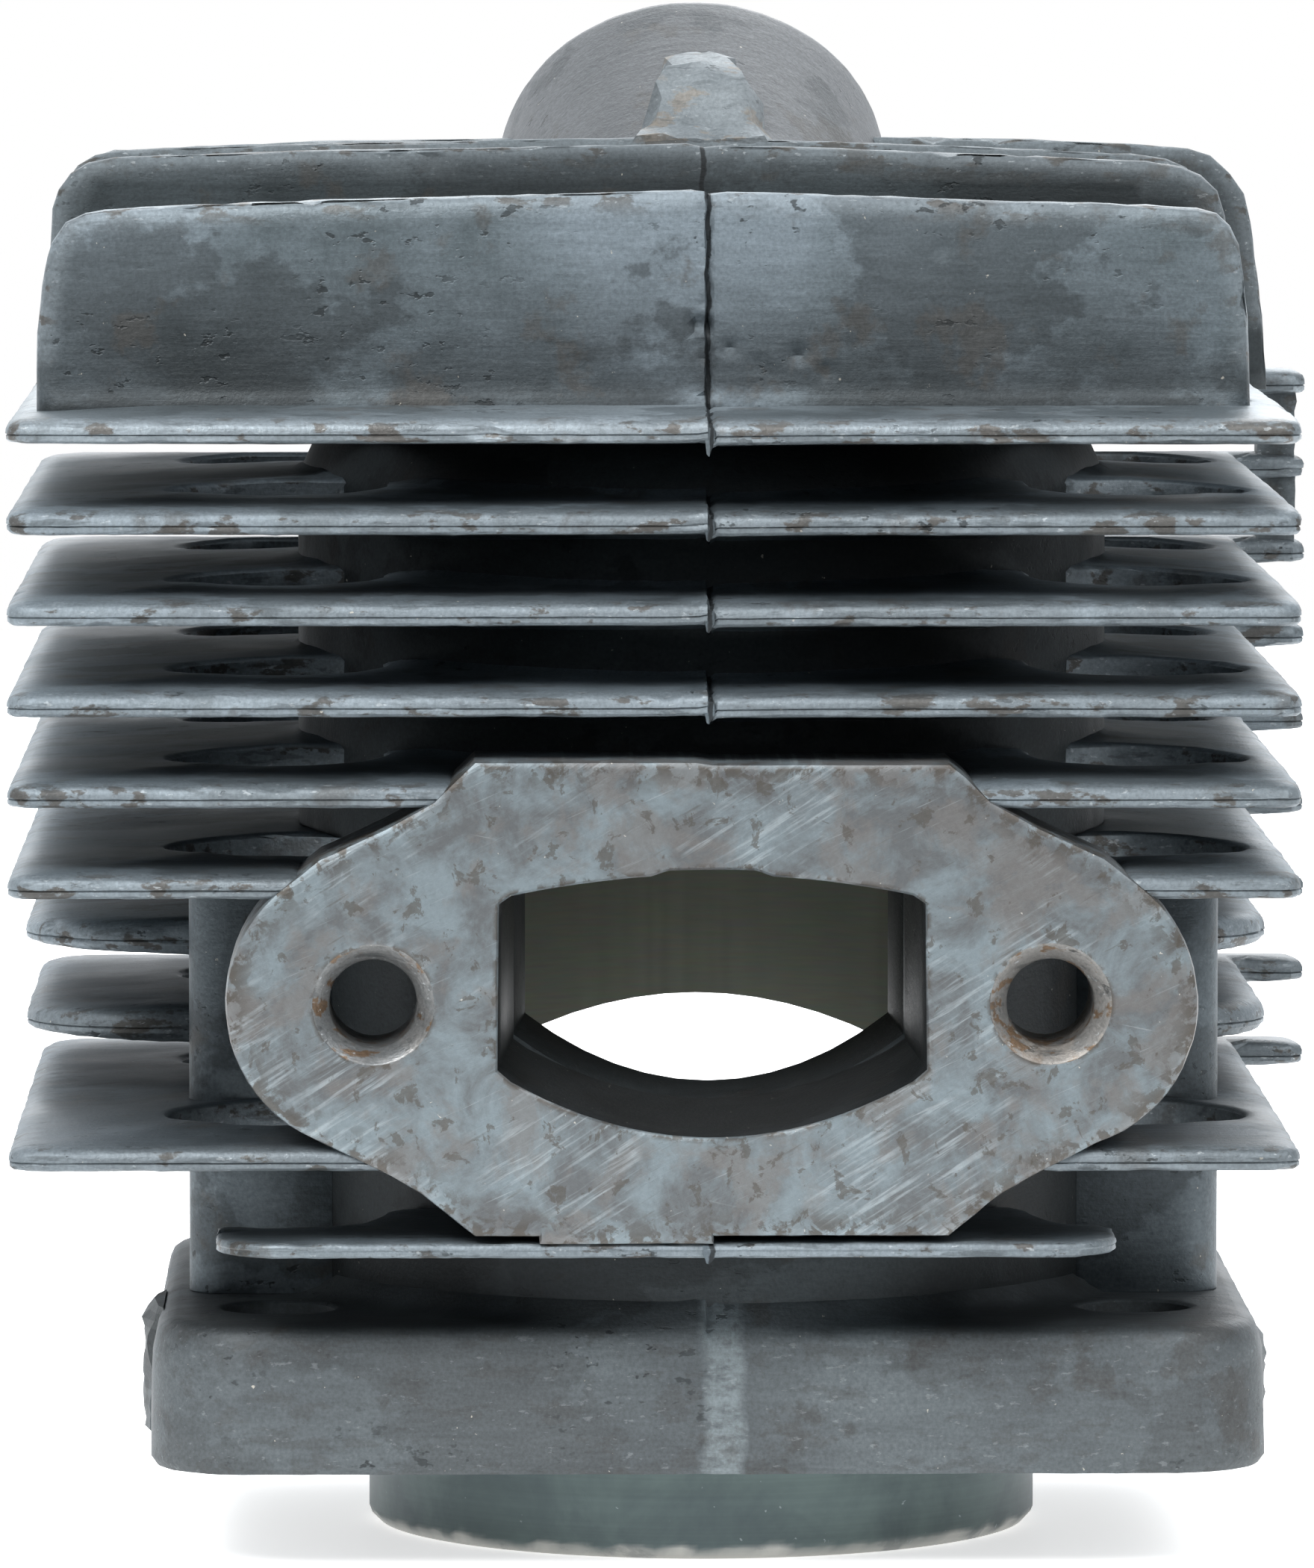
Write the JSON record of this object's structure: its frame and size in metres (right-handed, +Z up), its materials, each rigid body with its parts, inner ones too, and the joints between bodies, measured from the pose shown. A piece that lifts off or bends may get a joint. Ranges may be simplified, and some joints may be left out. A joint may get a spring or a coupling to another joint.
{
  "type": "two-stroke engine cylinder with integral head",
  "caption": "Die-cast air-cooled two-stroke cylinder and head in one piece, with cooling fins, a slanted plug boss, an exhaust flange and a base spigot.",
  "frame": {"origin": "on the bore axis, in the plane of the base flange's seat", "axes": "+Z up the bore towards the head, -Y out of the exhaust port, +X to the right when facing the exhaust port"},
  "size_m": [0.0767, 0.0673, 0.0884],
  "materials": {
    "cast_aluminium": "as cast, blue-grey, stained",
    "filed_aluminium": "filed flat, scratched",
    "turned_aluminium": "turned, dull"
  },
  "bodies": {
    "root": {"barrel": "cast_aluminium", "head_dome": "cast_aluminium", "spigot": "turned_aluminium", "base_flange": "cast_aluminium", "transfer_duct_left": "cast_aluminium", "transfer_duct_right": "cast_aluminium", "exhaust_flange": "filed_aluminium", "exhaust_duct": "cast_aluminium", "intake_flange": "filed_aluminium", "intake_duct": "cast_aluminium", "plug_boss": "cast_aluminium", "plug_gusset": "cast_aluminium", "fin_01": "cast_aluminium", "fin_02": "cast_aluminium", "fin_03": "cast_aluminium", "fin_04": "cast_aluminium", "fin_05": "cast_aluminium", "fin_06": "cast_aluminium", "fin_07": "cast_aluminium", "fin_08": "cast_aluminium", "fin_09": "cast_aluminium", "fin_10": "cast_aluminium", "head_fin_1": "cast_aluminium", "head_fin_2": "cast_aluminium", "head_fin_3": "cast_aluminium", "head_fin_4_left": "cast_aluminium", "head_fin_4_right": "cast_aluminium", "rear_web": "cast_aluminium"}
  },
  "joints": []
}
